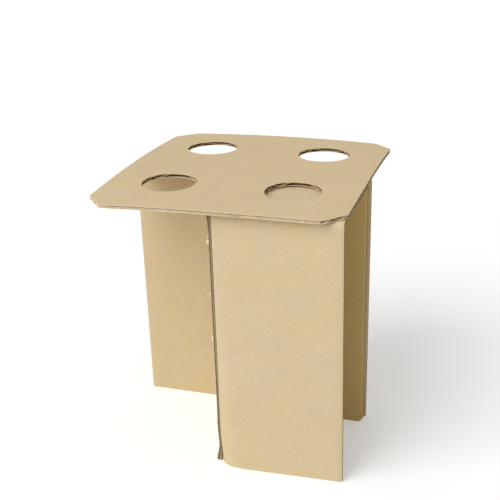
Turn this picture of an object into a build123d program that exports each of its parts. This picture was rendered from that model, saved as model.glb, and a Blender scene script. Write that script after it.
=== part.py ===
"""Inner fitment of a four-bottle shipping box, cut from single-wall corrugated board.

Two slotted walls cross each other and make four bottle cells. A pad folded to an upturned U
fills the front right cell. A flat plate with four neck holes lies on top of them.

The origin is on the floor under the middle of the plate. X is across the box, Y runs from the
front to the back and Z is up. All lengths are in millimetres.
"""

import os
from math import atan2, ceil, radians, tan

from build123d import *

os.makedirs("parts", exist_ok=True)

# Corrugated board: two liners with a waved medium between them
board_thickness = 3.0
liner_thickness = 0.35
medium_thickness = 0.3
flute_pitch = 9.0
crest_width = 1.0

# Crossed walls
wall_height = 200.0
centre_wall_length = 174.0
slot_clearance = 0.25
slot_end_gap = 0.5

# Neck plate
plate_width = 186.0
plate_length = 193.0
plate_corner_cut = 15.0
neck_hole_pitch = 93.0
neck_hole_radius = 20.2

# Folded pad in the front right cell
pad_width = 90.0
pad_depth = 83.5
pad_side_clearance = 0.4
pad_front_overhang = 3.0
fold_inner_radius = 0.4
pad_corner_cut = 3.5

# Waved medium: the height of its centre line and the slope of its flanks
wave_height = board_thickness - 2 * liner_thickness - medium_thickness
flank_run = flute_pitch / 2 - crest_width
flank_angle = atan2(wave_height, flank_run)

# Open cell between the medium and one liner, seen along the flutes
cell_narrow = crest_width / 2 - medium_thickness / 2 * tan(flank_angle / 2)
cell_wide = cell_narrow + flank_run
cell_floor = -wave_height / 2 + medium_thickness / 2
cell_roof = board_thickness / 2 - liner_thickness


def draw_flutes(length):
    """Draw the open cells of a board, seen along its flutes, in two rows that pass both of its ends."""
    half_count = ceil(length / 2 / flute_pitch) + 1
    with GridLocations(flute_pitch, 0, 2 * half_count, 1):
        Polygon(
            (-cell_narrow, cell_floor),
            (cell_narrow, cell_floor),
            (cell_wide, cell_roof),
            (-cell_wide, cell_roof),
            align=None,
        )
    with GridLocations(flute_pitch, 0, 2 * half_count + 1, 1):
        Polygon(
            (-cell_wide, -cell_roof),
            (cell_wide, -cell_roof),
            (cell_narrow, -cell_floor),
            (-cell_narrow, -cell_floor),
            align=None,
        )


# Each wall is slotted halfway, a little deeper than the half it straddles
slot_width = board_thickness + 2 * slot_clearance
slot_depth = wall_height / 2 + slot_end_gap

# Centre wall, from front to back, with upright flutes and its slot open at the bottom
with BuildPart() as centre_wall:
    with BuildSketch(Plane.YZ):
        Rectangle(centre_wall_length, wall_height, align=(Align.CENTER, Align.MIN))
        Rectangle(slot_width, slot_depth, align=(Align.CENTER, Align.MIN), mode=Mode.SUBTRACT)
    extrude(amount=board_thickness / 2, both=True)
    with BuildSketch(Plane(origin=(0, 0, 0), x_dir=(0, 1, 0), z_dir=(0, 0, 1))):
        draw_flutes(centre_wall_length)
    extrude(amount=wall_height, mode=Mode.SUBTRACT)
centre_wall.part.label = "centre_wall"
export_step(centre_wall.part, "parts/centre_wall.step")

# Cross wall, from left to right and as long as the plate is wide, with its slot open at the top
cross_wall_length = plate_width
with BuildPart() as cross_wall:
    with BuildSketch(Plane.XZ):
        Rectangle(cross_wall_length, wall_height, align=(Align.CENTER, Align.MIN))
        with Locations((0, wall_height)):
            Rectangle(slot_width, slot_depth, align=(Align.CENTER, Align.MAX), mode=Mode.SUBTRACT)
    extrude(amount=board_thickness / 2, both=True)
    with BuildSketch(Plane.XY):
        draw_flutes(cross_wall_length)
    extrude(amount=wall_height, mode=Mode.SUBTRACT)
cross_wall.part.label = "cross_wall"
export_step(cross_wall.part, "parts/cross_wall.step")

# Neck plate on top of the walls and the pad, its flutes running from left to right
plate_middle = wall_height + board_thickness / 2
with BuildPart() as neck_plate:
    with BuildSketch(Plane.XY.offset(wall_height)) as plate_outline:
        Rectangle(plate_width, plate_length)
        chamfer(plate_outline.vertices(), length=plate_corner_cut)
        with GridLocations(neck_hole_pitch, neck_hole_pitch, 2, 2):
            Circle(neck_hole_radius, mode=Mode.SUBTRACT)
    extrude(amount=board_thickness)
    with BuildSketch(Plane(origin=(-plate_width / 2, 0, plate_middle), x_dir=(0, 1, 0), z_dir=(1, 0, 0))):
        draw_flutes(plate_length)
    extrude(amount=plate_width, mode=Mode.SUBTRACT)
neck_plate.part.label = "neck_plate"
export_step(neck_plate.part, "parts/neck_plate.step")

# Pad folded to an upturned U: front panel, top and back panel, in line with the front of the walls
pad_left_x = board_thickness / 2 + pad_side_clearance
pad_middle_x = pad_left_x + pad_width / 2
pad_front_y = -centre_wall_length / 2 - pad_front_overhang
pad_back_y = pad_front_y + pad_depth
fold_outer_radius = fold_inner_radius + board_thickness

# The flutes run along the wrap and turn each fold in two mitres, just outside the board's middle arc
half_mitre_angle = radians(22.5)
front_middle_y = pad_front_y + board_thickness / 2
back_middle_y = pad_back_y - board_thickness / 2
top_middle_z = wall_height - board_thickness / 2
fold_middle_radius = fold_inner_radius + board_thickness / 2
fold_mitre = fold_middle_radius * (1 - tan(half_mitre_angle))

with BuildPart() as space_pad:
    with BuildSketch(Plane.YZ.offset(pad_left_x)):
        with BuildLine():
            FilletPolyline(
                (pad_front_y, 0),
                (pad_front_y, wall_height),
                (pad_back_y, wall_height),
                (pad_back_y, 0),
                radius=fold_outer_radius,
            )
            offset(amount=board_thickness, side=Side.RIGHT)
        make_face()
    extrude(amount=pad_width)
    # The back panel's two lower corners are trimmed
    lower_edges = space_pad.edges().filter_by(Axis.Y).group_by(Axis.Z)[0]
    chamfer(lower_edges.group_by(Axis.Y)[-1], length=pad_corner_cut)
    with BuildLine(Plane.YZ.offset(pad_middle_x)) as flute_path:
        Polyline(
            (front_middle_y, 0),
            (front_middle_y, top_middle_z - fold_mitre),
            (front_middle_y + fold_mitre, top_middle_z),
            (back_middle_y - fold_mitre, top_middle_z),
            (back_middle_y, top_middle_z - fold_mitre),
            (back_middle_y, 0),
        )
    with BuildSketch(Plane(origin=(pad_middle_x, front_middle_y, 0), x_dir=(1, 0, 0), z_dir=(0, 0, 1))):
        draw_flutes(pad_width)
    sweep(path=flute_path.line, transition=Transition.RIGHT, mode=Mode.SUBTRACT)
space_pad.part.label = "space_pad"
export_step(space_pad.part, "parts/space_pad.step")
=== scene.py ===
# %% [markdown]
# The fitment of a bottle shipping box: two slotted walls that cross, a pad folded to an upturned
# U, and a flat plate with four neck holes. All of it is cut from corrugated kraft board.
# The measured model is loaded first, as a frame that nothing here moves. Every board made below
# starts from it, so it lands in its right place, and only its surface and wear are new.

# %% Load the frame
import math
import random

import bpy
from mathutils import Matrix, Vector


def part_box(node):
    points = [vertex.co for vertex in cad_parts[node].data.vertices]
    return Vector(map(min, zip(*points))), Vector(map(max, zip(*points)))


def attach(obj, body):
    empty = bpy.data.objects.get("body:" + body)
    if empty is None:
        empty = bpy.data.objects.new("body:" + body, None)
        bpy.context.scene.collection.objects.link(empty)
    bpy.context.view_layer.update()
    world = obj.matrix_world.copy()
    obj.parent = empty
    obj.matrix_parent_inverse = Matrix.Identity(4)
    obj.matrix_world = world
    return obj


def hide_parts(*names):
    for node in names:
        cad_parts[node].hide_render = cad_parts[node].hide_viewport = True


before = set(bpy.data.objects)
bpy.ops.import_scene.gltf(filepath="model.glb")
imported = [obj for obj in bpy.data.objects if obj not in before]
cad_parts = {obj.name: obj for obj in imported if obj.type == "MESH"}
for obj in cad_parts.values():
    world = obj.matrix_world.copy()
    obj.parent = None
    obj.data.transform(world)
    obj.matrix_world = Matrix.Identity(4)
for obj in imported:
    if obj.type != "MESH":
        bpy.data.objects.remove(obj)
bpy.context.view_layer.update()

# %% Sizes of the boards, read from the frame
mm = 0.001
plate_low, plate_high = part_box("neck_plate")
centre_low, centre_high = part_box("centre_wall")
cross_low, cross_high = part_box("cross_wall")
pad_low, pad_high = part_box("space_pad")
board = plate_high.z - plate_low.z
wall_top = centre_high.z
print("board thickness", round(board / mm, 2), "mm, walls", round(wall_top / mm, 1), "mm tall")

# %% [markdown]
# The camera stands in front, a little to the right and above, and its picture is tilted by less
# than two degrees. The lens is long, so upright edges lean together only slightly. The angles are
# named here and turned into one matrix, which is easier to read than three Euler angles because
# a camera looks along its own minus Z.

# %% Camera
camera_place = Vector((200.8, -610.3, 400.6)) * mm
camera_lens = 63.72
turn_to_left = math.radians(18.36)
tilt_down = math.radians(22.34)
picture_roll = math.radians(-1.67)

camera = bpy.data.objects.new("camera", bpy.data.cameras.new("camera"))
bpy.context.scene.collection.objects.link(camera)
camera.data.lens = camera_lens
camera.data.sensor_width = 36.0
camera.data.clip_start = 0.01
camera.matrix_world = (
    Matrix.Translation(camera_place)
    @ Matrix.Rotation(turn_to_left, 4, "Z")
    @ Matrix.Rotation(math.radians(90) - tilt_down, 4, "X")
    @ Matrix.Rotation(picture_roll, 4, "Z")
)
bpy.context.scene.camera = camera
bpy.context.scene.view_settings.view_transform = "Standard"
print("camera at", [round(v, 3) for v in camera_place], "lens", camera_lens, "mm")

# %% [markdown]
# Shader sums read best as plain expressions. Signal wraps one output socket, and each operator
# adds the Math node that it stands for, so 1 - mask * 0.5 is two nodes. Colours never pass
# through it, because a Math node would turn them grey: they go through Mix nodes instead.


# %% Shader maths
class Signal:
    """A number on a shader socket, with operators that add Math nodes."""

    def __init__(self, nodes, socket):
        self.nodes = nodes
        self.socket = socket

    def math(self, operation, first, second=0.0, clamp=False):
        settings = {"operation": operation, "use_clamp": clamp}
        node = self.nodes.add("ShaderNodeMath", settings, first, second)
        return Signal(self.nodes, node.outputs[0])

    def __add__(self, other):
        return self.math("ADD", self, other)

    def __radd__(self, other):
        return self.math("ADD", other, self)

    def __sub__(self, other):
        return self.math("SUBTRACT", self, other)

    def __rsub__(self, other):
        return self.math("SUBTRACT", other, self)

    def __mul__(self, other):
        return self.math("MULTIPLY", self, other)

    def __rmul__(self, other):
        return self.math("MULTIPLY", other, self)

    def sine(self):
        return self.math("SINE", self)

    def clamped(self):
        return self.math("ADD", self, clamp=True)

    def step(self, start, end):
        """0 below start, 1 past end and a smooth rise between them."""
        settings = {"interpolation_type": "SMOOTHSTEP"}
        node = self.nodes.add("ShaderNodeMapRange", settings, self, start, end, 0.0, 1.0)
        return Signal(self.nodes, node.outputs[0])


# %% [markdown]
# Every other node comes from one method, which takes the node's type, its settings, and the
# values or links of its sockets. A Mix node has several sockets of one name, for numbers and for
# colours, so a socket is looked up by its identifier first and by its name after that.


# %% Nodes of a material or of the sky
class Nodes:
    """The node tree of a material or a world, cleared and filled again in the order of need."""

    def __init__(self, owner):
        self.owner = owner
        owner.use_nodes = True
        self.tree = owner.node_tree
        self.tree.nodes.clear()

    def add(self, kind, settings=None, *values, **named):
        """Add a node: its settings come first, then the values or links of its sockets."""
        node = self.tree.nodes.new(kind)
        for key, setting in (settings or {}).items():
            setattr(node, key, setting)
        for index, value in enumerate(values):
            self.fill(node.inputs[index], value)
        for name, value in named.items():
            self.fill(self.find(node.inputs, name), value)
        return node

    def find(self, sockets, name):
        """The socket with this identifier, or else the first one with this name."""
        wanted = name.replace("_", " ").lower()
        for socket in sockets:
            if socket.identifier.replace("_", " ").lower() == wanted:
                return socket
        return next(socket for socket in sockets if socket.name.lower() == wanted)

    def fill(self, socket, value):
        """Link another node's socket to this one, or set it to a plain value."""
        if isinstance(value, Signal):
            value = value.socket
        if isinstance(value, bpy.types.NodeSocket):
            self.tree.links.new(value, socket)
        else:
            socket.default_value = value

    def place(self, scale=(1.0, 1.0, 1.0)):
        """Object coordinates in metres, stretched by scale."""
        coordinates = self.add("ShaderNodeTexCoord").outputs["Object"]
        return self.add("ShaderNodeMapping", Vector=coordinates, Scale=scale).outputs[0]

    def noise(self, size, detail=2.0, roughness=0.5, scale=(1.0, 1.0, 1.0)):
        """Noise between 0 and 1 whose grains are about size metres wide."""
        node = self.add(
            "ShaderNodeTexNoise",
            Vector=self.place(scale),
            Scale=1.0 / size,
            Detail=detail,
            Roughness=roughness,
        )
        return Signal(self, node.outputs["Fac"])

    def blend(self, factor, first, second):
        """A colour between two others."""
        settings = {"data_type": "RGBA"}
        node = self.add("ShaderNodeMix", settings, Factor_Float=factor, A_Color=first, B_Color=second)
        return self.find(node.outputs, "Result_Color")


# %% [markdown]
# A shader works in linear light, but a colour is best written as a screen shows it, from 0 to 255,
# because that is how a photo gives it. One function turns it into the linear colour.
# Paper is never of one tone, so another gives a buff that is a little paler or deeper.


# %% Colours as a screen shows them
def srgb(red, green, blue):
    """A colour given as 0 to 255 on a screen, as the linear colour that a shader works in."""
    channels = []
    for value in (red, green, blue):
        share = value / 255
        channels.append(share / 12.92 if share <= 0.04045 else ((share + 0.055) / 1.055) ** 2.4)
    return (*channels, 1.0)


def toned(buff, red, green, blue):
    """A buff that is made paler or deeper by an amount for each channel."""
    return srgb(buff[0] + red, buff[1] + green, buff[2] + blue)


# %% [markdown]
# Kraft liner is unbleached paper. From a step away it is one warm buff, but close up it has three
# scales of change: cloudy patches from the pulp, fibres that lie mostly across the flutes, the
# way the paper ran through the machine, and single dark specks. Each scale is one noise, kept
# weak, because the real sheet is very even, and one more lets the buff wander towards yellow.
# The flutes below the liner show as a faint washboard, so the bump gets a shallow sine wave
# across them.

# %% The finish of the outer liners
flute_pitch = 9.0 * mm


def kraft_liner(name, buff, wave_axis):
    """Uncoated kraft paper over flutes that repeat along one axis."""
    finish = Nodes(bpy.data.materials.new(name))
    lengthened = tuple(0.35 if axis == wave_axis else 1.0 for axis in "XYZ")
    clouds = finish.noise(26 * mm, detail=3.0)
    fibres = finish.noise(1.3 * mm, detail=4.0, roughness=0.7, scale=lengthened)
    grain = finish.noise(0.35 * mm, detail=2.0, roughness=0.6)
    specks = finish.noise(1.3 * mm, detail=1.0)
    tints = finish.noise(16 * mm, detail=5.0, roughness=0.72)

    tone = (clouds - 0.5) * 0.35 + (fibres - 0.5) * 1.1 + (grain - 0.5) * 0.8 + 0.5
    colour = finish.blend(tone.clamped(), toned(buff, -14, -16, -20), toned(buff, 10, 10, 10))
    colour = finish.blend(tints.step(0.38, 0.64) * 0.5, colour, toned(buff, 0, 0, -16))
    colour = finish.blend(specks.step(0.71, 0.78) * 0.45, colour, toned(buff, -48, -50, -52))

    across_flutes = finish.add("ShaderNodeSeparateXYZ", Vector=finish.place()).outputs[wave_axis]
    angle = Signal(finish, across_flutes) * (2 * math.pi / flute_pitch)
    washboard = angle.sine() * 0.5 + 0.5
    height = washboard * 0.2 + fibres * 0.5 + grain * 0.3
    relief = finish.add("ShaderNodeBump", Strength=0.35, Distance=0.06 * mm, Height=height)
    shader = finish.add(
        "ShaderNodeBsdfPrincipled",
        Base_Color=colour,
        Roughness=0.82 + (fibres - 0.5) * 0.2,
        Specular_IOR_Level=0.25,
        Normal=relief.outputs[0],
    )
    finish.add("ShaderNodeOutputMaterial", Surface=shader.outputs[0])
    return finish.owner


# %% [markdown]
# A cut edge shows torn and pressed fibre, and the waved medium between the liners is a coarser,
# browner paper. Both are rough and have no grain direction, so two noises are enough: fine
# streaks that lie in the relief too, and patches that only change the tone.


# %% The finish of cut edges and of the waved medium
def cut_paper(name, pale_colour, dark_colour):
    """Torn and pressed fibre on a cut edge."""
    finish = Nodes(bpy.data.materials.new(name))
    streaks = finish.noise(0.5 * mm, detail=3.0, roughness=0.7)
    patches = finish.noise(5 * mm, detail=2.0)
    tone = (streaks - 0.5) * 1.3 + (patches - 0.5) * 0.8 + 0.55
    colour = finish.blend(tone.clamped(), dark_colour, pale_colour)
    relief = finish.add("ShaderNodeBump", Strength=0.6, Distance=0.1 * mm, Height=streaks)
    shader = finish.add(
        "ShaderNodeBsdfPrincipled",
        Base_Color=colour,
        Roughness=0.95 - streaks * 0.1,
        Specular_IOR_Level=0.15,
        Normal=relief.outputs[0],
    )
    finish.add("ShaderNodeOutputMaterial", Surface=shader.outputs[0])
    return finish.owner


# %% [markdown]
# The boards differ only a little in tone, so two functions make all their papers. The pad is a
# shade paler outside and browner inside, partly its own paper and partly painted bounce light.
# Crushed and torn paper have tones of their own. Painted shade darkens the walls' cut edges and
# crushed medium and the pad's cut edges, and a painted highlight pales the plate's cut edges.

# %% Make the finishes
plate_liner = kraft_liner("plate_liner", (216, 195, 160), "Y")
centre_liner = kraft_liner("centre_wall_liner", (214, 193, 157), "Y")
cross_liner = kraft_liner("cross_wall_liner", (214, 193, 157), "X")
pad_liner = kraft_liner("pad_liner", (216, 197, 163), "X")
# The inside liner is browner paper, and its warm tone is partly painted light bounced round inside the
# fold.
pad_inside_with_painted_bounce = kraft_liner("pad_inside_with_painted_bounce", (220, 194, 136), "X")
# The walls' cut edges are rough fibre, darkened further by painted shade.
wall_edge_fibre_and_painted_shade = cut_paper("wall_edge_fibre_and_painted_shade", srgb(210, 196, 166), srgb(152, 134, 100))
# The plate's cut edges are pale fibre, made paler still by a painted highlight.
plate_edge_fibre_and_painted_highlight = cut_paper("plate_edge_fibre_and_painted_highlight", srgb(248, 236, 206), srgb(202, 178, 134))
medium = cut_paper("waved_medium", srgb(190, 164, 120), srgb(146, 120, 78))
# The pad's cut edges are darkened with painted shade of the gap beside the centre wall.
pad_edge_painted_shade = cut_paper("pad_edge_painted_shade", srgb(192, 168, 124), srgb(132, 108, 68))
# The walls' crushed medium is darkened with painted shade of the deep gap between the liners.
crushed_walls_painted_shade = cut_paper("crushed_walls_painted_shade", srgb(144, 122, 80), srgb(98, 78, 42))
crushed_in_plate = cut_paper("crushed_in_plate", srgb(226, 206, 168), srgb(188, 164, 124))
torn_fibre = cut_paper("torn_fibre", srgb(252, 247, 236), srgb(236, 224, 200))
print("finishes:", [material.name for material in bpy.data.materials])

# %% [markdown]
# Every board starts as a copy of its measured solid, which is loose triangles. Merging their
# doubles gives one closed skin that can be cut and bent. Extra cuts across the board then give
# it points to bend at, because a flat sheet with nothing but corners cannot curve. A cut may
# pass very close to a point that is there already, so points that nearly meet are merged again.

# %% Select pieces and copy a board
double_points = 0.001 * mm


def select_only(*pieces):
    """Select these pieces and nothing else, and make the last one active."""
    bpy.ops.object.select_all(action="DESELECT")
    for piece in pieces:
        piece.select_set(True)
    bpy.context.view_layer.objects.active = pieces[-1]


def copy_board(node, name):
    """A piece of its own with the node's mesh, its doubles merged."""
    piece = bpy.data.objects.new(name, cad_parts[node].data.copy())
    piece.data.name = name
    piece.data.materials.clear()
    bpy.context.scene.collection.objects.link(piece)
    select_only(piece)
    bpy.ops.object.mode_set(mode="EDIT")
    bpy.ops.mesh.select_all(action="SELECT")
    bpy.ops.mesh.remove_doubles(threshold=double_points)
    bpy.ops.object.mode_set(mode="OBJECT")
    return piece


# %% Cut a board into strips
X = Vector((1, 0, 0))
Y = Vector((0, 1, 0))
Z = Vector((0, 0, 1))
rim = 1.8 * mm
on_plane = 0.0005 * mm
same_point = 0.0006 * mm


def cut_strips(piece, way, places):
    """Cut the whole piece by planes that lie at places along one way."""
    bpy.ops.object.mode_set(mode="EDIT")
    for place in places:
        bpy.ops.mesh.select_all(action="SELECT")
        bpy.ops.mesh.bisect(plane_co=way * place, plane_no=way, threshold=on_plane)
    bpy.ops.mesh.select_all(action="SELECT")
    bpy.ops.mesh.remove_doubles(threshold=same_point)
    bpy.ops.object.mode_set(mode="OBJECT")


def strip_places(low, high, strips):
    """Even cuts between two ends, and two more inside each end, for its pressed rim."""
    even = [low + (high - low) * step / strips for step in range(1, strips)]
    return [low + rim / 2, low + rim, *even, high - rim, high - rim / 2]


# %% Give each face its finish
LINER, EDGE, MEDIUM, INSIDE = range(4)


def give_finish(piece, finishes, choose):
    """Give each face the finish whose number choose returns for its centre and normal."""
    for finish in finishes:
        piece.data.materials.append(finish)
    for face in piece.data.polygons:
        face.material_index = choose(face.center, face.normal)


# %% [markdown]
# A cutting rule presses the board as it cuts it. The two liners bend towards each other near the
# cut and keep their own thickness, while the wave between them is crushed. Pressing is a move of
# each point towards the middle of the board, which grows with the square of how near the point is
# to the cut. It is strong where the cut runs along the flutes and weak across their ends.

# %% Press the rims
liner = 0.35 * mm
hollow = board / 2 - liner
rim_squeeze = 0.42
print("each half of the board has", round(hollow / mm, 2), "mm of room between its liners")


def press_rims(piece, from_cut, across, squeeze):
    """Press the points near a cut towards the middle of the board.

    For a point, from_cut gives its distance from the cut, across gives its height over the middle
    of the board and the way towards its face, and squeeze gives the share of the height to lose.
    """
    for vertex in piece.data.vertices:
        near = max(0.0, 1.0 - max(from_cut(vertex.co), 0.0) / rim)
        height, outward = across(vertex.co)
        reach = max(-hollow, min(height, hollow))
        vertex.co -= outward * (reach * squeeze(vertex.co / mm) * near**2)


def from_ends(way, low, high):
    """A function that gives a point's distance from the nearer of two ends."""
    return lambda point: min(point.dot(way) - low.dot(way), high.dot(way) - point.dot(way))


def flat_across(way, middle=0.0):
    """A function that gives a point's height over the middle of a flat board, and the way up."""
    return lambda point: (point.dot(way) - middle, way)


def even_squeeze(at):
    """The same squeeze all along the cut."""
    return rim_squeeze


# %% [markdown]
# Board that has been folded, stored and handled is never quite flat. Each sheet is bent by a
# function that gives the shift of every place on it, in millimetres. The shifts are small, and
# most of them fade out smoothly around their place, so that several can be added up.


# %% Bend the sheets
def bend(piece, shift):
    """Move every point by the shift, in millimetres, that its place in millimetres has."""
    for vertex in piece.data.vertices:
        vertex.co += Vector(shift(vertex.co / mm)) * mm


def fade(distance, reach):
    """1 at no distance, falling smoothly to 0 at reach."""
    share = min(abs(distance) / reach, 1.0)
    return (1 - share * share) ** 2


# %% [markdown]
# A die-cut blank hangs in its sheet by small uncut ties until it is stripped out. Each one leaves
# a torn tuft on the edge, paler than the cut beside it. A tuft is a cube that is subdivided,
# tapers towards its outer end and has all its points shifted at random, from a seed of its own.

# %% Torn ties
tuft_cuts = 3
taper = 0.55
uneven_taper = (0.6, 1.1)
raggedness = 0.09
stand_out = 0.2


def torn_tie(place, outward, size, seed):
    """A ragged tuft of paper on a cut edge, its place and size in millimetres."""
    dice = random.Random(seed)
    bpy.ops.object.select_all(action="DESELECT")
    bpy.ops.mesh.primitive_cube_add(size=1.0)
    tuft = bpy.context.object
    tuft.name = "torn_tie"
    bpy.ops.object.mode_set(mode="EDIT")
    bpy.ops.mesh.subdivide(number_cuts=tuft_cuts)
    bpy.ops.object.mode_set(mode="OBJECT")
    side = Vector(outward).normalized()
    for vertex in tuft.data.vertices:
        reach = vertex.co.dot(side)
        slim = 1.0 - taper * (reach + 0.5) * dice.uniform(*uneven_taper)
        vertex.co = side * reach + (vertex.co - side * reach) * slim
        jitter = [dice.uniform(-raggedness, raggedness) for _ in range(3)]
        vertex.co = Vector(v * s for v, s in zip(vertex.co + Vector(jitter), size)) * mm
        vertex.co += (Vector(place) + side * stand_out) * mm
    tuft.data.materials.append(torn_fibre)
    return tuft


# %% [markdown]
# A cut along the flutes opens the board between two waves, and the crushed paper of the wave fills
# the gap between the liners. It is a narrow ribbon, made from a cube that is cut into short
# lengths whose outer corners are shifted a little, so that its edge is as ragged as torn paper.
# On the walls the ribbon is darkened with painted shade of the deep gap between the liners.

# %% Crushed medium along a cut
ribbon_depth = 1.2 * mm
ribbon_step = 2.5 * mm
ribbon_ragged = 0.12
shorter_than_cut = 0.6 * mm
sunk_in_liners = 0.2 * mm
gap = 2 * hollow + sunk_in_liners
print("a ribbon of crushed medium is up to", round(gap / mm, 2), "mm thick")


def crushed_ribbon(middle, length, along, outward, finish, seed, fill):
    """A ragged ribbon between the liners that fills a share of the gap, its outer side outward."""
    dice = random.Random(seed)
    deep = Vector([abs(part) for part in outward])
    flat = Vector((1, 1, 1)) - along - deep
    size = along * length + flat * gap * fill + deep * ribbon_depth
    bpy.ops.object.select_all(action="DESELECT")
    bpy.ops.mesh.primitive_cube_add(size=1.0, location=middle, scale=size)
    ribbon = bpy.context.object
    ribbon.name = "crushed_medium"
    bpy.ops.object.transform_apply(location=True, rotation=False, scale=True)
    start = middle.dot(along) - length / 2
    lengths = int(length / ribbon_step)
    cut_strips(ribbon, along, [start + ribbon_step * step for step in range(1, lengths)])
    for vertex in ribbon.data.vertices:
        if (vertex.co - middle).dot(outward) > 0:
            vertex.co += outward * dice.uniform(-ribbon_ragged, ribbon_ragged) * mm
    ribbon.data.materials.append(finish)
    return ribbon


def end_ribbons(middle, reach, outward, along, length, finish, seed, fill=1.0):
    """Two ribbons whose outer sides lie reach to either side of the middle."""
    ribbons = []
    for side in (-1, 1):
        place = middle + outward * (side * (reach - ribbon_depth / 2))
        ribbons.append(crushed_ribbon(place, length, along, outward * side, finish, seed + side, fill))
    return ribbons


# %% Join and finish a board
smooth_up_to = math.radians(28)


def join_into(piece, extras):
    """Make the tufts and ribbons one mesh with their board."""
    select_only(*extras, piece)
    bpy.ops.object.join()


def done(piece, node):
    """Shade a piece smooth where it is nearly flat and put it in place of its solid."""
    select_only(piece)
    bpy.ops.object.shade_smooth_by_angle(angle=smooth_up_to)
    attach(piece, "root")
    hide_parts(node)
    print(piece.name, len(piece.data.polygons), "faces")


# %% [markdown]
# Both walls are flat boards on edge. A face of a wall belongs to a liner if it lies at the full
# thickness of the board, to a cut edge if it looks along the wall, up or down, and else to the
# medium. This is asked of each face by its place and normal, and both walls use one function.

# %% Which finish a wall's face gets
surface_slack = 0.02 * mm
square_on = 0.95


def wall_finish(thin, long):
    """A function that chooses the finish of a face, on a wall that is thin one way and long another."""

    def choose(centre, normal):
        if abs(centre.dot(thin)) > board / 2 - surface_slack:
            return LINER
        if abs(normal.dot(long)) > square_on or abs(normal.z) > square_on:
            return EDGE
        return MEDIUM

    return choose


# %% [markdown]
# The centre wall stands from front to back. Its liners face left and right, and its front edge
# shows all its papers side by side. The lower front corner has been knocked: it is dented to the
# right just above the floor and splays to the left at the floor.

# %% Centre wall
half_centre = centre_high.y / mm
wall_height = wall_top / mm
centre_wall_heights = (4, 8, 12, 16, 20, 26, 33, 50, 75, 125, 150, 175, 183, 191, 196)

centre_wall = copy_board("centre_wall", "centre_wall_board")
give_finish(centre_wall, [centre_liner, wall_edge_fibre_and_painted_shade, medium], wall_finish(thin=X, long=Y))
cut_strips(centre_wall, Y, strip_places(centre_low.y, centre_high.y, strips=14))
cut_strips(centre_wall, Z, [height * mm for height in centre_wall_heights])
print("centre wall cut into", len(centre_wall.data.polygons), "faces")

# %% How the centre wall is pressed and bent
foot_reach = 11
dent_height = 15
front_forward = 1.2


def centre_wall_squeeze(at):
    """Pressed flat along the edge, less so at its top, and burst open again at its foot."""
    burst = 0.9 * fade(at.z, foot_reach)
    spared = 0.4 * fade(wall_height - at.z, 16)
    return 0.5 - burst - spared


def knock_centre_wall(at):
    """The front edge is pushed forward and to the left and dented, and the back edge is bowed."""
    front = fade(at.y + half_centre, 22)
    back = fade(at.y - half_centre, 30)
    dent = 0.75 * fade(at.z - dent_height, 10)
    splay = 0.4 * fade(at.z, foot_reach)
    pull = 0.5 * fade(at.z - wall_height, 18)
    lean = -1.0 + dent - splay - pull
    ripple = 0.25 * math.sin(at.z / 31)
    bow = ripple * front + 0.5 * back * fade(at.z - 90, 90)
    return (lean * front + bow, -front_forward * front, 0)


# %% Ties and crushed edges of the centre wall
wall_recess = 0.25 * mm
wall_middle = Vector((0, 0, wall_top / 2))
wall_ribbon = wall_top - shorter_than_cut
left_corner = -1.6
tie_shape = (0.9, 1.0, 1.2)
tie_heights_and_sizes = (
    (181.2, 1.2),
    (177.5, 2.1),
    (138.4, 1.2),
    (104.5, 1.3),
    (102.5, 1.5),
    (75.5, 1.1),
    (36.4, 1.4),
    (32.9, 1.4),
)
ties = []
for seed, (height, size) in enumerate(tie_heights_and_sizes):
    place = (left_corner, -half_centre, height)
    ties.append(torn_tie(place, (-0.8, -0.8, 0), [part * size for part in tie_shape], seed))
reach = centre_high.y - wall_recess
ribbons = end_ribbons(wall_middle, reach, Y, Z, wall_ribbon, crushed_walls_painted_shade, seed=60)
join_into(centre_wall, ties + ribbons)
press_rims(centre_wall, from_ends(Y, centre_low, centre_high), flat_across(X), centre_wall_squeeze)
bend(centre_wall, knock_centre_wall)
done(centre_wall, "centre_wall")

# %% [markdown]
# The cross wall runs from left to right and is as long as the plate is wide. It is made like the
# centre wall, and stands a little bowed, as thin board does when nothing holds its ends.

# %% Cross wall
half_cross = cross_high.x / mm
left_end_forward = 1.1
right_end_backward = 0.8


def bow_cross_wall(at):
    """The left half bows to the front and the right half to the back."""
    free = abs(at.x) / half_cross
    return (0, -left_end_forward * free**2 if at.x < 0 else right_end_backward * free**2, 0)


cross_wall = copy_board("cross_wall", "cross_wall_board")
give_finish(cross_wall, [cross_liner, wall_edge_fibre_and_painted_shade, medium], wall_finish(thin=Y, long=X))
cut_strips(cross_wall, X, strip_places(cross_low.x, cross_high.x, strips=16))
print("cross wall cut into", len(cross_wall.data.polygons), "faces")

# %% Ties and crushed edges of the cross wall
sides_and_heights = ((-1, 168), (-1, 91), (-1, 22), (1, 143), (1, 58))
ties = [
    torn_tie((side * half_cross, 0, height), (side, 0, 0), (0.8, 0.8, 1.1), seed)
    for seed, (side, height) in enumerate(sides_and_heights, 20)
]
reach = cross_high.x - wall_recess
ribbons = end_ribbons(wall_middle, reach, X, Z, wall_ribbon, crushed_walls_painted_shade, seed=70)
join_into(cross_wall, ties + ribbons)
press_rims(cross_wall, from_ends(X, cross_low, cross_high), flat_across(Y), even_squeeze)
bend(cross_wall, bow_cross_wall)
done(cross_wall, "cross_wall")

# %% [markdown]
# The plate is one sheet with four round holes and cut corners. Its flutes run from left to
# right, so the left and right edges show the wave and the front and back edges show its side.
# The sheet is a little domed from front to back, and its free corners hang by a millimetre or
# two. Over the walls it is never lower than their tops.

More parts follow.
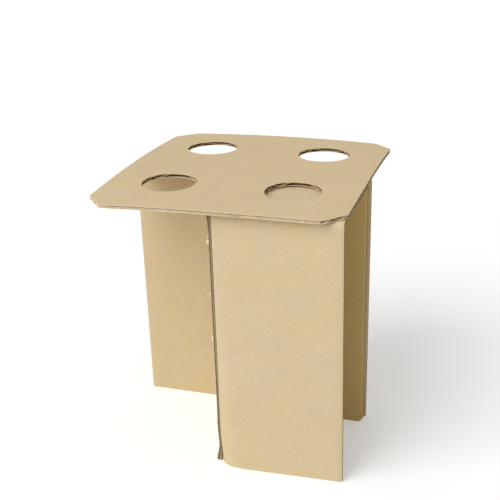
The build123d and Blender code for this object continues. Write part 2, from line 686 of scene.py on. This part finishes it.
# %% Where the plate's holes and corners are
hole_pitch = 93.0 * mm
hole_radius = 20.2 * mm
corner_cut = 15.0 * mm
plate_middle = (plate_low.z + plate_high.z) / 2
half_plate_x = plate_high.x / mm
half_plate_y = plate_high.y / mm
print("plate", round(2 * half_plate_x), "by", round(2 * half_plate_y), "mm")


def from_hole(point):
    """How far a point is from the middle of the nearest neck hole."""
    return math.hypot(abs(point.x) - hole_pitch / 2, abs(point.y) - hole_pitch / 2)


def from_corner(point):
    """How far a point is from the slanted cut at its corner of the plate."""
    return (plate_high.x - abs(point.x) + plate_high.y - abs(point.y) - corner_cut) / math.sqrt(2)


def from_outline(point):
    """How far a point is from the plate's outline, with its cut corners."""
    return max(min(plate_high.x - abs(point.x), plate_high.y - abs(point.y), from_corner(point)), 0.0)


# %% Which finish a face of the plate gets
slanted_towards_x = 0.3


def plate_finish(centre, normal):
    """A liner, a cut edge or the medium; medium near the slanted cuts gets the pale edge finish, a
    painted highlight on its flute flanks.
    """
    if min(centre.z - plate_low.z, plate_high.z - centre.z) < surface_slack:
        return LINER
    if abs(normal.x) > slanted_towards_x or from_hole(centre) < hole_radius + surface_slack:
        return EDGE
    # Medium faces near a slanted cut get the pale edge finish: a painted highlight on the flute flanks
    # there.
    if abs(normal.y) > square_on or from_corner(centre) < rim:
        return EDGE
    return MEDIUM


# %% Neck plate
edge_step = (22.0, 22.6)
corner_reach = (plate_high.x + plate_high.y - corner_cut) / math.sqrt(2)
corner_rim = (corner_reach - rim / 2, corner_reach - rim)

neck_plate = copy_board("neck_plate", "neck_plate_board")
step_places = [place * mm for place in edge_step]
cut_strips(neck_plate, X, strip_places(plate_low.x, plate_high.x, strips=16) + step_places)
cut_strips(neck_plate, Y, strip_places(plate_low.y, plate_high.y, strips=16))
for side in (-1, 1):
    diagonal = Vector((1, side, 0)).normalized()
    cut_strips(neck_plate, diagonal, [sign * place for sign in (-1, 1) for place in corner_rim])
give_finish(neck_plate, [plate_liner, plate_edge_fibre_and_painted_highlight, medium], plate_finish)
print("plate cut into", len(neck_plate.data.polygons), "faces")

# %% How the plate is pressed
straight_end = half_plate_x - corner_cut / mm
changeover = 4


def plate_squeeze(at):
    """Strong where the cut runs along the flutes, strongest at one pinched corner, weak elsewhere."""
    past_end = abs(at.x) - straight_end
    along_flutes = 1 - min(max((past_end + changeover / 2) / changeover, 0), 1)
    pinch = 0.3 if at.x < 0 and at.y < 0 else 0.1
    return 0.13 + along_flutes * (0.09 + pinch * fade(past_end, 7))


# %% How the plate is bent
dome_height = 1.1
corner_droop = 2.4
clear_of_walls = 0.12
step_depth = 0.45
notch_depth = 0.9
notch_reach = 0.9
notch_x = (hole_pitch / 2 + hole_radius) / mm
notch_y = -hole_pitch / 2 / mm


def warp_plate(at):
    """Domed, with drooping corners, a step in the front edge and a notch in one hole."""
    dome = dome_height * (1 - (at.y / half_centre) ** 2)
    over_pad = at.x > 0 and at.y < 0
    droop = 0 if over_pad else corner_droop * (at.x / half_plate_x) ** 2 * (at.y / half_plate_y) ** 2
    step = step_depth if at.x > edge_step[0] and at.y < -half_plate_y + 1 else 0
    notch = notch_depth * fade(math.hypot(at.x - notch_x, at.y - notch_y), notch_reach)
    return (notch, step, dome - droop + clear_of_walls)


# %% Ties and crushed edges of the plate
plate_recess = 0.15 * mm
plate_fill = 0.68
lowered = plate_middle - gap * (1 - plate_fill) / 2
plate_ribbon = 2 * (plate_high.x - corner_cut) - shorter_than_cut
tie_height = 201.1
ties = [
    torn_tie((across, -half_plate_y, tie_height), (0, -1, -0.3), (1.2, 0.7, 0.9), seed)
    for seed, across in enumerate((-29.4, -7.0, 66.3), 40)
]
middle = Vector((0, 0, lowered))
reach = plate_high.y - plate_recess
ribbons = end_ribbons(middle, reach, Y, X, plate_ribbon, crushed_in_plate, seed=80, fill=plate_fill)
join_into(neck_plate, ties + ribbons)
press_rims(neck_plate, from_outline, flat_across(Z, plate_middle), plate_squeeze)
bend(neck_plate, warp_plate)
done(neck_plate, "neck_plate")

# %% [markdown]
# The pad is one strip of board folded twice into an upturned U. It keeps the empty cell from
# being crushed. Its outside is the paler liner, and the inside of the fold is browner paper, whose
# warm tone is partly painted light bounced round inside the fold. A point on it is described by
# how deep it lies in the wrap, which the round folds need too.

# %% Where a point lies in the pad
fold_radius = 3.4 * mm
wrap_slack = 8 * surface_slack
trimmed_height = 5 * mm
downwards = -0.6


def pad_section(point):
    """How deep a point lies in the wrap, and the way towards its outside, seen from the side."""
    from_front = point.y - pad_low.y
    from_back = pad_high.y - point.y
    side = -1 if from_front < from_back else 1
    from_side = min(from_front, from_back)
    from_top = pad_high.z - point.z
    if from_side < fold_radius and from_top < fold_radius:
        out = Vector((0, side * (fold_radius - from_side), fold_radius - from_top))
        return fold_radius - out.length, out.normalized()
    if from_side < from_top:
        return from_side, Vector((0, side, 0))
    return from_top, Z


def pad_across(point):
    """The height of a point over the middle of the wrap, and the way towards its outside."""
    depth, outward = pad_section(point)
    return board / 2 - depth, outward


def pad_finish(centre, normal):
    """The outer liner, the inner liner, a cut or trimmed edge, or the medium."""
    # Cut and trimmed edges take the pad's edge finish, which is darkened with painted shade.
    if abs(normal.x) > square_on or (normal.z < downwards and centre.z < trimmed_height):
        return EDGE
    depth, outward = pad_section(centre)
    if abs(depth) < wrap_slack:
        return LINER
    if abs(depth - board) < wrap_slack:
        return INSIDE
    return MEDIUM


# %% How the pad is bent
pad_left, pad_right = pad_low.x / mm, pad_high.x / mm
pad_front, pad_back = pad_low.y / mm, pad_high.y / mm
most_flared = 11
foot_spring = 4.9
front_bow = 0.5
back_bow = 1.6
panel_reach = 30
print("pad", round(pad_right - pad_left), "mm wide and", round(pad_back - pad_front, 1), "mm deep")


def flare(across):
    """How far out the foot of the front panel stands: most near its left edge, none at its ends."""
    if across < most_flared:
        return 1 - (1 - across / most_flared) ** 2
    return 1 - (across - most_flared) / (pad_right - pad_left - most_flared)


def warp_pad(at):
    """The front panel's foot springs out, its edges curl and ripple, and the back panel bows."""
    in_front = at.y < (pad_front + pad_back) / 2
    front = fade(at.y - pad_front, panel_reach) if in_front else 0
    back = 0 if in_front else fade(at.y - pad_back, panel_reach)
    low = 1 - at.z / wall_height
    halfway_up = (at.z / wall_height) * low * 4
    across = at.x - pad_left
    halfway_across = 1 - (across / (pad_right - pad_left) * 2 - 1) ** 2
    curl = fade(math.hypot(across, at.z * 0.8), 26)
    ripple = 0.5 * fade(at.x - pad_right, 9) * math.sin(at.z / 6.5) * fade(at.z - 105, 30)
    spring = foot_spring * low * flare(across)
    forward = front * (spring + front_bow * halfway_up * halfway_across - curl - ripple)
    left = front * (1 - 0.9 * fade(at.z, 26)) * fade(across, 20)
    right = (1.2 * front + 0.6 * back) * low * fade(at.x - pad_right, 60)
    backward = back * back_bow * halfway_up * (1 - 0.5 * halfway_across)
    return (right - left, -forward - backward, 0)


# %% Folded pad
left_strips = (3.6, 5.4, 7.2, 11.0, 14.0)
pad_heights = (4, 8, 12, 17, 23, 32, 46, 62, 80, 87, 94, 101, 108, 115, 122, 130, 150, 172, 188)

space_pad = copy_board("space_pad", "space_pad_board")
give_finish(space_pad, [pad_liner, pad_edge_painted_shade, medium, pad_inside_with_painted_bounce], pad_finish)
left_places = [pad_low.x + strip * mm for strip in left_strips]
cut_strips(space_pad, X, strip_places(pad_low.x, pad_high.x, strips=10) + left_places)
cut_strips(space_pad, Z, [height * mm for height in pad_heights])
press_rims(space_pad, from_ends(X, pad_low, pad_high), pad_across, even_squeeze)
bend(space_pad, warp_pad)
done(space_pad, "space_pad")

# %% [markdown]
# The set stands on a wide white floor, as for a catalogue picture. The floor has some light of its
# own that only the camera, reflections and glass see, so it reads as white, sends hardly more
# light to the boards and still keeps their shadow.

# %% Floor
floor_radius = 12.0
floor_white = 0.80
floor_glow = 0.30


def floor_finish():
    """A matt white that is brighter to the camera than to the boards."""
    finish = Nodes(bpy.data.materials.new("white_floor"))
    rays = finish.add("ShaderNodeLightPath")
    seen = Signal(finish, rays.outputs["Is Camera Ray"]) + rays.outputs["Is Glossy Ray"]
    seen = (seen + rays.outputs["Is Transmission Ray"]).clamped()
    shader = finish.add(
        "ShaderNodeBsdfPrincipled",
        Base_Color=(floor_white, floor_white, floor_white, 1.0),
        Roughness=1.0,
        Specular_IOR_Level=0.0,
        Emission_Color=(1.0, 1.0, 1.0, 1.0),
        Emission_Strength=seen * floor_glow,
    )
    finish.add("ShaderNodeOutputMaterial", Surface=shader.outputs[0])
    return finish.owner


bpy.ops.object.select_all(action="DESELECT")
bpy.ops.mesh.primitive_circle_add(vertices=96, radius=floor_radius, fill_type="NGON")
floor = bpy.context.object
floor.name = "floor"
floor.data.materials.append(floor_finish())
print("floor", 2 * floor_radius, "m across")

# %% [markdown]
# The sky fills the shade from all sides. It is white to the camera, so that the background is
# white too, and a weaker white as light, so that the boards keep their shading. Its nodes come
# from the same method as a material's.

# %% Sky
sky_light = 0.48
sky_seen = 1.0

sky = Nodes(bpy.data.worlds.new("studio"))
to_camera = sky.add("ShaderNodeLightPath").outputs["Is Camera Ray"]
strength = sky.add("ShaderNodeMix", Factor_Float=to_camera, A_Float=sky_light, B_Float=sky_seen)
light = sky.add("ShaderNodeBackground", Color=(1.0, 1.0, 1.0, 1.0), Strength=strength.outputs[0])
sky.add("ShaderNodeOutputWorld", Surface=light.outputs[0])
bpy.context.scene.world = sky.owner
print("sky gives", sky_light, "as light")

# %% [markdown]
# One sun lights the set from the front left, and it doesn't fall off over the floor as a lamp
# near by would. It is as wide as a large softbox, which keeps its shadows soft. Sun and sky
# together are kept at the level where a colour renders about as it is written.

# %% Sun
sun_from = Vector((-0.45, -0.62, 0.69))
sun_strength = 2.05
sun_width = math.radians(50)

sun = bpy.data.objects.new("key", bpy.data.lights.new("key", "SUN"))
bpy.context.scene.collection.objects.link(sun)
sun.data.energy = sun_strength
sun.data.angle = sun_width
sun.rotation_euler = sun_from.to_track_quat("Z", "Y").to_euler()
print("sun of strength", sun_strength, "from", [round(part, 2) for part in sun_from])
